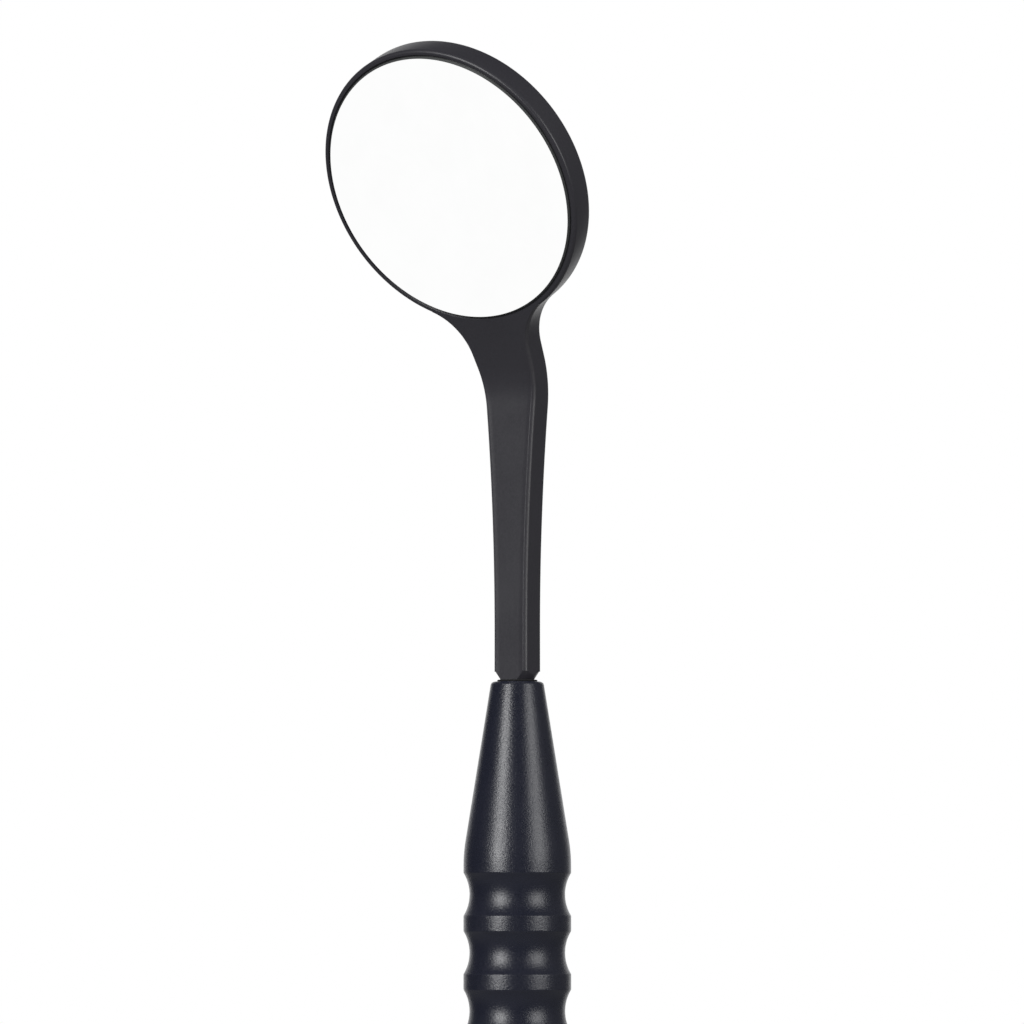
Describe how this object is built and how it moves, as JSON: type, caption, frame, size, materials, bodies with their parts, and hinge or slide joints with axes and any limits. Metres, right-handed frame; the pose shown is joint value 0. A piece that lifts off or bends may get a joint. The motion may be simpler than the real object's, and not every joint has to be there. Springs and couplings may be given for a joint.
{
  "type": "dental mouth mirror",
  "caption": "Dental mouth mirror: a round tilted mirror on a flat black stem that screws into a hollow, ringed black handle.",
  "frame": {"origin": "centre of the flat tail face of the handle", "axes": "+Z along the handle from tail to head; the mirror faces -Y, tilted down by its lean; +X is to the mirror's left seen from behind, across the stem"},
  "size_m": [0.0218, 0.0177, 0.1666],
  "materials": {
    "handle_anodised": "bead-blasted and black anodised, faintly blue",
    "plug_anodised": "turned and black anodised",
    "steel_bright": "turned stainless steel",
    "rubber_black": "matt silicone",
    "frame_black": "satin black coating with bright chamfers",
    "adhesive": "cured adhesive film",
    "mirror_front": "front-surface mirror coating on ground glass",
    "sealant_black": "smooth black sealant bead"
  },
  "bodies": {
    "handle": {"handle_body": "handle_anodised", "thread_bush": "steel_bright", "tail_plug": "plug_anodised", "tail_oring": "rubber_black"},
    "stem_seal": {"seal_washer": "rubber_black"},
    "head": {"head_frame": "frame_black", "threaded_stud": "steel_bright", "mirror_glass": "mirror_front", "glass_bond": "adhesive", "edge_seal": "sealant_black"}
  },
  "joints": [
    {"name": "unscrew_lift", "type": "slide", "parent": "handle", "child": "stem_seal", "axis": [0, 0, 1], "range_m": [0, 0.0045]},
    {"name": "unscrew_turn", "type": "hinge", "parent": "stem_seal", "child": "head", "pos_m": [0, 0, 0.12], "axis": [0, 0, 1], "range_deg": [0, 3600]}
  ],
  "couplings": [
    {"joint": "unscrew_turn", "follows": "unscrew_lift", "rad_per_m": 13963}
  ]
}
